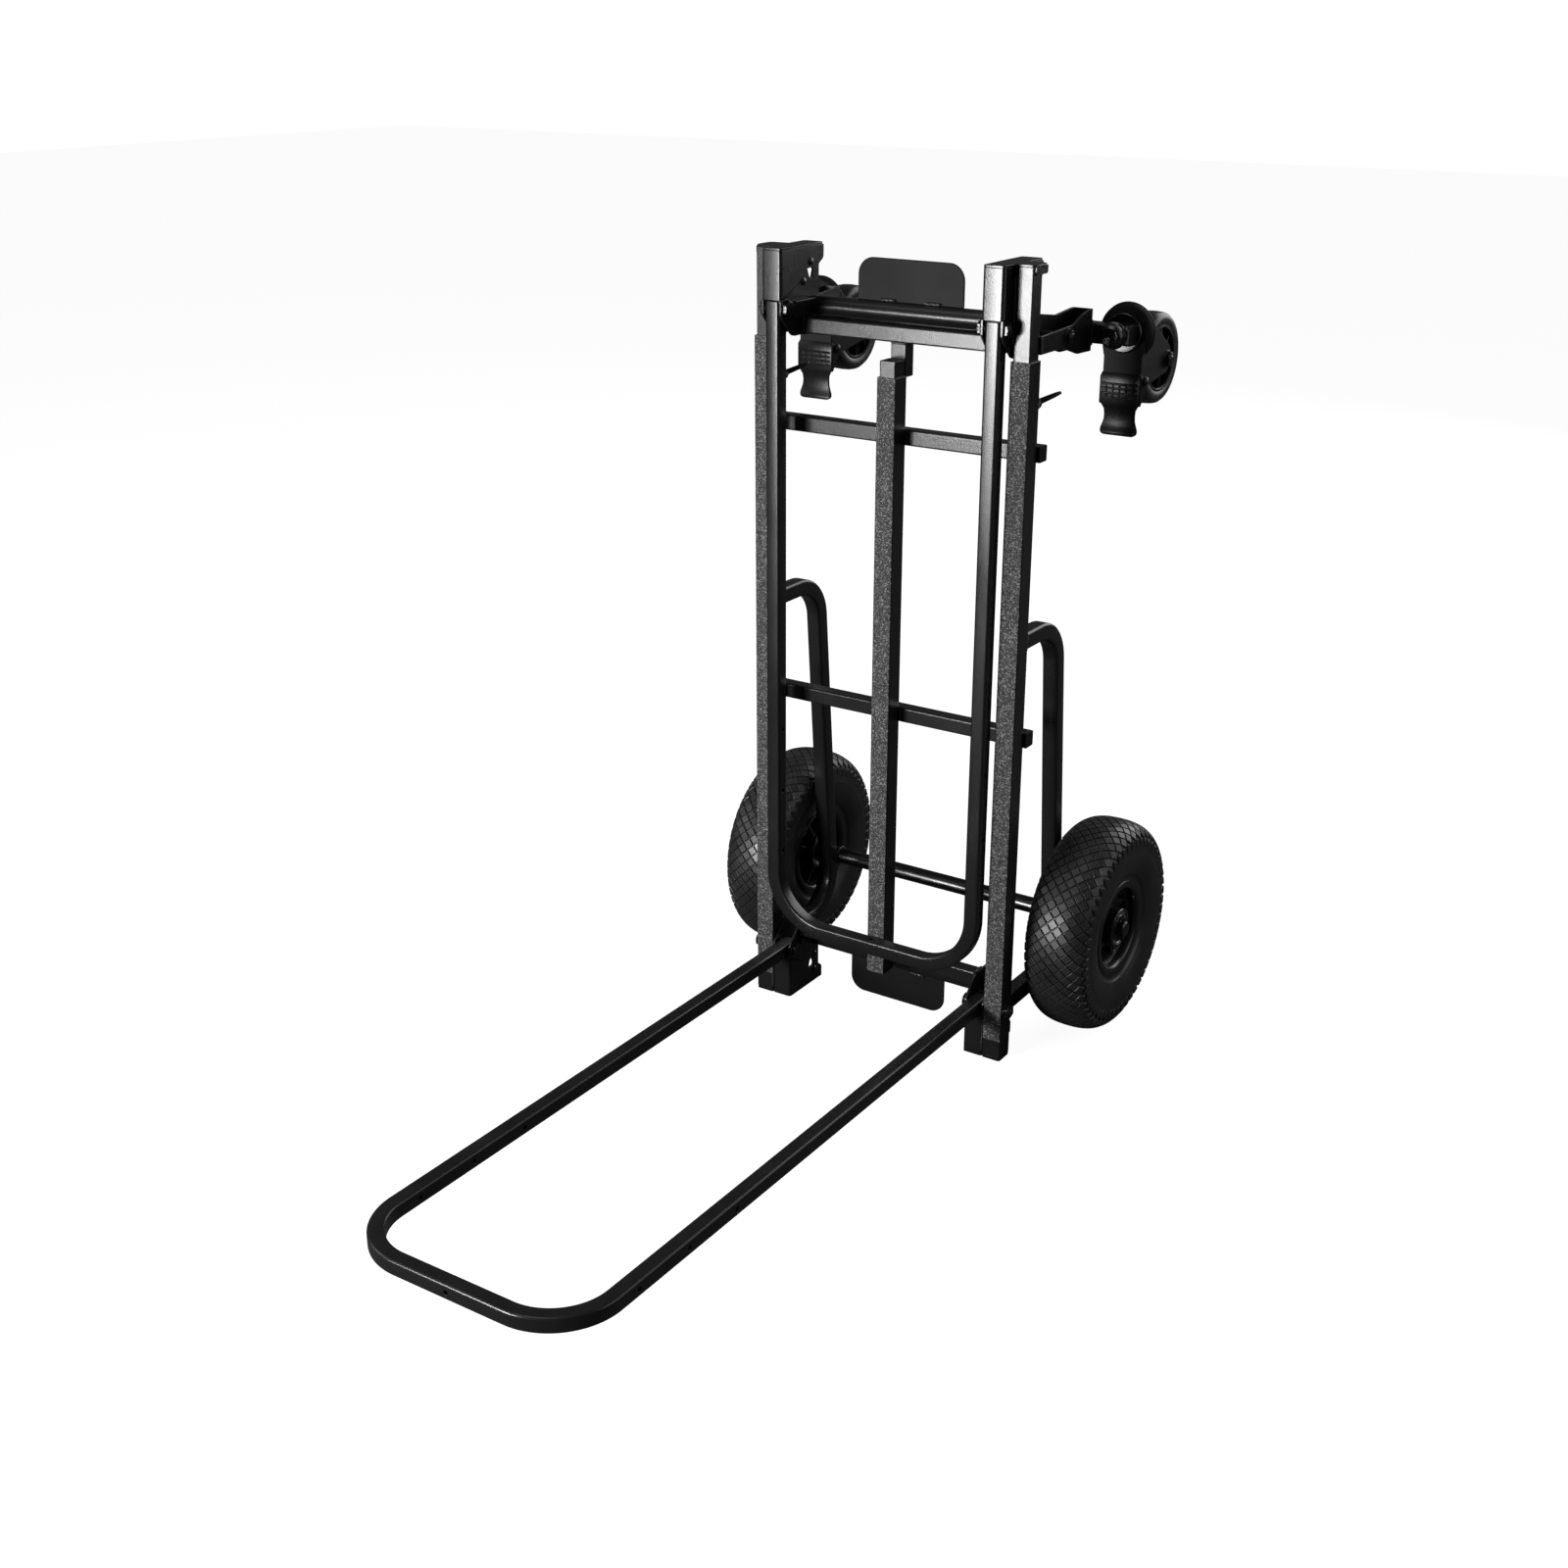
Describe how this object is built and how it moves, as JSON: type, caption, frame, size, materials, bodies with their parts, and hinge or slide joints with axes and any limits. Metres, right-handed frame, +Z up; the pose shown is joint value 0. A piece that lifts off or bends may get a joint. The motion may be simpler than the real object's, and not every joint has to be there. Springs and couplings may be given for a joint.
{
  "type": "folding hand truck",
  "caption": "Folding hand truck with a long U-shaped nose, a telescopic frame, air-type wheels and rear swivel casters, so that it also opens into a flat platform cart.",
  "frame": {"origin": "centre of the bounding box's footprint, on the floor the wheels and feet stand on", "axes": "+X to the side along the axle, +Y backwards from the nose towards the wheels, +Z up along the rails"},
  "size_m": [0.517, 1.071, 0.9345],
  "materials": {
    "black_powder_coat": "satin",
    "grip_grit": "rough",
    "black_plastic": "matte",
    "blackened_steel": "satin",
    "zinc_steel": "satin",
    "tyre_rubber": "matte",
    "caster_rubber": "matte"
  },
  "bodies": {
    "lower_frame": {"left_rail": "black_powder_coat", "right_rail": "black_powder_coat", "centre_tube": "black_powder_coat", "grip_strips": "grip_grit", "back_crossbars": "black_powder_coat", "bottom_crossbar": "black_powder_coat", "left_foot_bracket": "black_powder_coat", "right_foot_bracket": "black_powder_coat", "left_axle_hoop": "black_powder_coat", "right_axle_hoop": "black_powder_coat", "axle": "blackened_steel", "axle_retainers": "blackened_steel", "frame_plugs": "black_plastic", "nose_pivot_bolts": "blackened_steel", "clamp_nuts": "blackened_steel", "lower_latch_bolts": "blackened_steel", "lower_latch_spring": "zinc_steel"},
    "upper_frame": {"left_slide_rail": "black_powder_coat", "right_slide_rail": "black_powder_coat", "slide_centre_tube": "black_powder_coat", "top_crossbar": "black_powder_coat", "centre_link": "black_powder_coat", "left_head_bracket": "black_powder_coat", "right_head_bracket": "black_powder_coat", "left_caster_arm": "black_powder_coat", "right_caster_arm": "black_powder_coat", "caster_beam": "black_powder_coat", "beam_caps": "black_plastic", "slide_plugs": "black_plastic", "handle_pivot_bolts": "blackened_steel", "arm_bolts": "blackened_steel", "kingpins": "blackened_steel", "upper_latch_bolts": "blackened_steel", "upper_latch_spring": "zinc_steel"},
    "nose": {"nose_handle": "black_powder_coat", "nose_bushes": "black_plastic"},
    "handle": {"top_handle": "black_powder_coat", "top_handle_bushes": "black_plastic"},
    "upper_latch": {"upper_latch_bar": "black_powder_coat", "upper_latch_pedal": "black_powder_coat"},
    "lower_latch": {"lower_latch_bar": "black_powder_coat", "lower_latch_pedal": "black_powder_coat"},
    "left_wheel": {"left_tyre": "tyre_rubber", "left_rim": "black_powder_coat", "left_bearings": "zinc_steel"},
    "left_clamp": {"left_clamp_bolt": "black_plastic"},
    "left_caster": {"left_caster_fork": "black_powder_coat", "left_caster_axle": "blackened_steel"},
    "left_caster_roller": {"left_caster_wheel": "caster_rubber"},
    "left_brake": {"left_brake_pedal": "black_plastic"},
    "right_wheel": {"right_tyre": "tyre_rubber", "right_rim": "black_powder_coat", "right_bearings": "zinc_steel"},
    "right_clamp": {"right_clamp_bolt": "black_plastic"},
    "right_caster": {"right_caster_fork": "black_powder_coat", "right_caster_axle": "blackened_steel"},
    "right_caster_roller": {"right_caster_wheel": "caster_rubber"},
    "right_brake": {"right_brake_pedal": "black_plastic"}
  },
  "joints": [
    {"name": "frame_slide", "type": "slide", "parent": "lower_frame", "child": "upper_frame", "axis": [0, 0, 1], "range_m": [0, 0.4]},
    {"name": "nose_fold", "type": "hinge", "parent": "lower_frame", "child": "nose", "pos_m": [0, 0.2515, 0.0635], "axis": [-1, 0, 0], "range_deg": [0, 55]},
    {"name": "handle_fold", "type": "hinge", "parent": "upper_frame", "child": "handle", "pos_m": [0, 0.229, 0.8685], "axis": [-1, 0, 0], "range_deg": [0, 90]},
    {"name": "upper_latch_turn", "type": "hinge", "parent": "upper_frame", "child": "upper_latch", "pos_m": [0, 0.289, 0.866], "axis": [-1, 0, 0], "range_deg": [0, 15], "stiffness_Nm_per_rad": 4, "springref_deg": -17.19},
    {"name": "lower_latch_turn", "type": "hinge", "parent": "lower_frame", "child": "lower_latch", "pos_m": [0, 0.295, 0.066], "axis": [1, 0, 0], "range_deg": [0, 15], "stiffness_Nm_per_rad": 4, "springref_deg": -17.19},
    {"name": "left_wheel_turn", "type": "hinge", "parent": "lower_frame", "child": "left_wheel", "pos_m": [-0.2175, 0.4035, 0.132], "axis": [1, 0, 0], "continuous": true},
    {"name": "left_clamp_turn", "type": "hinge", "parent": "lower_frame", "child": "left_clamp", "pos_m": [-0.164, 0.279, 0.785], "axis": [0, 1, 0], "continuous": true},
    {"name": "left_caster_swivel", "type": "hinge", "parent": "upper_frame", "child": "left_caster", "pos_m": [-0.203, 0.411, 0.847], "axis": [0, 1, 0], "continuous": true},
    {"name": "left_caster_turn", "type": "hinge", "parent": "left_caster", "child": "left_caster_roller", "pos_m": [-0.203, 0.4835, 0.81], "axis": [1, 0, 0], "continuous": true},
    {"name": "left_brake_press", "type": "hinge", "parent": "left_caster", "child": "left_brake", "pos_m": [-0.203, 0.42, 0.794], "axis": [1, 0, 0], "range_deg": [0, 8]},
    {"name": "right_wheel_turn", "type": "hinge", "parent": "lower_frame", "child": "right_wheel", "pos_m": [0.2175, 0.4035, 0.132], "axis": [1, 0, 0], "continuous": true},
    {"name": "right_clamp_turn", "type": "hinge", "parent": "lower_frame", "child": "right_clamp", "pos_m": [0.164, 0.279, 0.785], "axis": [0, 1, 0], "continuous": true},
    {"name": "right_caster_swivel", "type": "hinge", "parent": "upper_frame", "child": "right_caster", "pos_m": [0.203, 0.411, 0.847], "axis": [0, 1, 0], "continuous": true},
    {"name": "right_caster_turn", "type": "hinge", "parent": "right_caster", "child": "right_caster_roller", "pos_m": [0.203, 0.4835, 0.81], "axis": [1, 0, 0], "continuous": true},
    {"name": "right_brake_press", "type": "hinge", "parent": "right_caster", "child": "right_brake", "pos_m": [0.203, 0.42, 0.794], "axis": [1, 0, 0], "range_deg": [0, 8]}
  ]
}
